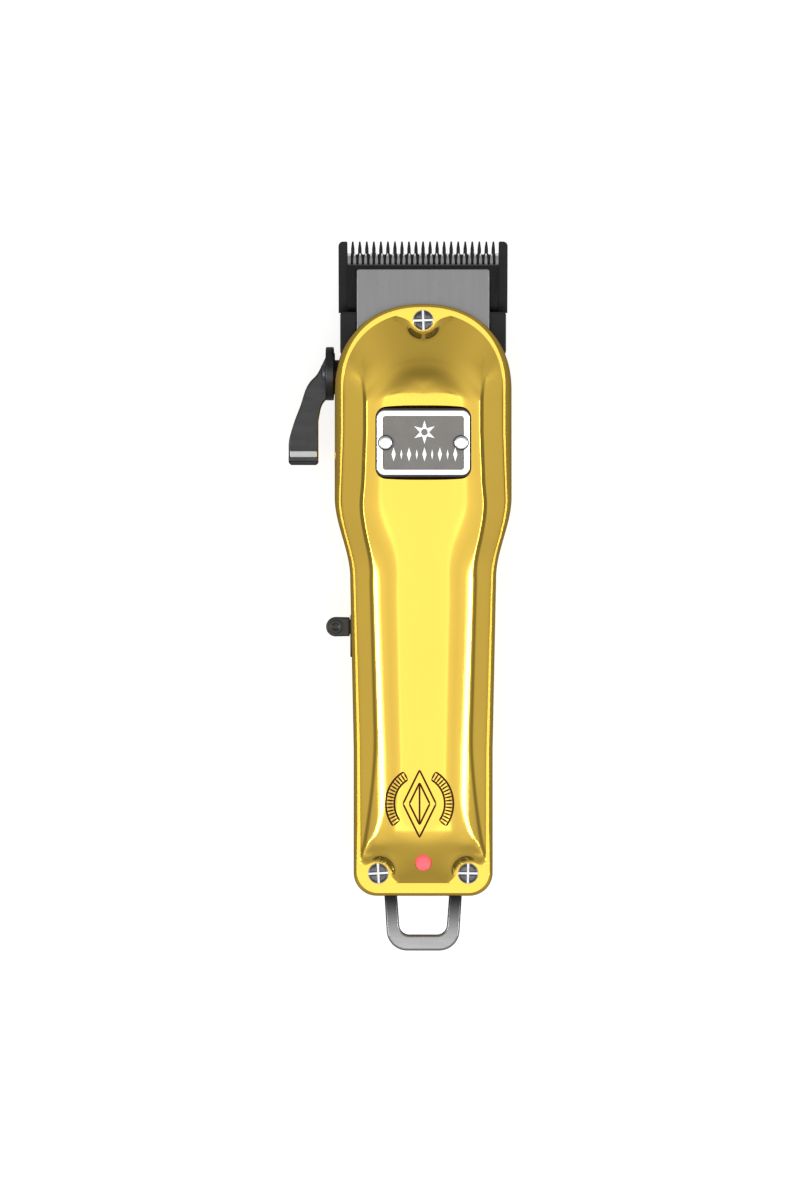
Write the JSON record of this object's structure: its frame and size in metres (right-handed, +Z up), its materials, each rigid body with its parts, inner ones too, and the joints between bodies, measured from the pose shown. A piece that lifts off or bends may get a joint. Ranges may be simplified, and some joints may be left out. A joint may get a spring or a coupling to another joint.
{
  "type": "hair clipper",
  "caption": "Cordless hair clipper with a gold metal lid and tub, toothed blades, side taper lever, slide switch, badge plate and a steel hanging loop.",
  "frame": {"origin": "middle of the flat rest face on the underside, under the grip", "axes": "+Y along the body towards the blades, +Z up through the lid, +X to the right seen from the lid"},
  "size_m": [0.0599, 0.1905, 0.0337],
  "materials": {
    "gold_metal": "polished gold-coloured plating",
    "screw_steel": "bright chrome",
    "badge_metal": "satin silver",
    "red_lens": "clear red",
    "hook_steel": "brushed",
    "black_plastic": "fine matt",
    "black_steel": "black coated",
    "plate_steel": "satin",
    "spring_steel": "plain",
    "coil_core": "lacquered copper and steel",
    "wheel_metal": "turned",
    "cell_wrap": "shrink wrap over a steel can",
    "board_green": "solder mask",
    "chip_black": "moulded",
    "wire_skin": "insulation"
  },
  "bodies": {
    "body": {"top_cover": "gold_metal", "bottom_housing": "gold_metal", "cover_screws": "screw_steel", "badge_plate": "badge_metal", "badge_rivets": "badge_metal", "indicator_lens": "red_lens", "hanging_hook": "hook_steel", "charging_jack": "black_plastic", "blade_spring": "spring_steel", "blade_cover_plate": "plate_steel", "cover_plate_screws": "screw_steel", "front_chassis": "black_plastic", "chassis_screws": "screw_steel", "lever_washer": "spring_steel", "motor_case": "spring_steel", "motor_end_cap": "black_plastic", "motor_screws": "screw_steel", "battery_cell": "cell_wrap", "battery_holder": "black_plastic", "battery_contacts": "spring_steel", "circuit_board": "board_green", "board_components": "chip_black", "indicator_led": "red_lens", "board_screws": "screw_steel", "switch_bezel": "black_plastic", "switch_body": "black_plastic", "motor_wires": "wire_skin", "battery_wires": "wire_skin"},
    "lever": {"taper_lever": "black_plastic", "lever_camshaft": "spring_steel", "lever_screw": "screw_steel"},
    "carrier": {"blade_carrier": "black_plastic", "fixed_blade": "black_steel", "blade_screws": "screw_steel"},
    "cutter": {"moving_blade": "black_steel", "blade_driver": "black_plastic"},
    "rotor": {"motor_shaft": "spring_steel", "motor_armature": "coil_core", "eccentric_wheel": "wheel_metal"},
    "switch": {"switch_slider": "black_plastic"}
  },
  "joints": [
    {"name": "lever_swing", "type": "hinge", "parent": "body", "child": "lever", "pos_m": [-0.0251, 0.061, 0.0155], "axis": [1, 0, 0], "range_deg": [0, 32]},
    {"name": "carrier_slide", "type": "slide", "parent": "body", "child": "carrier", "axis": [0, 0.9781, 0.2079], "range_m": [0, 0.0015]},
    {"name": "cutter_slide", "type": "slide", "parent": "body", "child": "cutter", "axis": [1, 0, 0], "range_m": [-0.00125, 0.00125]},
    {"name": "motor_spin", "type": "hinge", "parent": "body", "child": "rotor", "pos_m": [0, 0.03, 0.016], "axis": [0, 1, 0], "continuous": true},
    {"name": "switch_slide", "type": "slide", "parent": "body", "child": "switch", "axis": [0, -1, 0], "range_m": [0, 0.005]}
  ],
  "couplings": [
    {"joint": "lever_swing", "follows": "carrier_slide", "rad_per_m": 372.33}
  ]
}
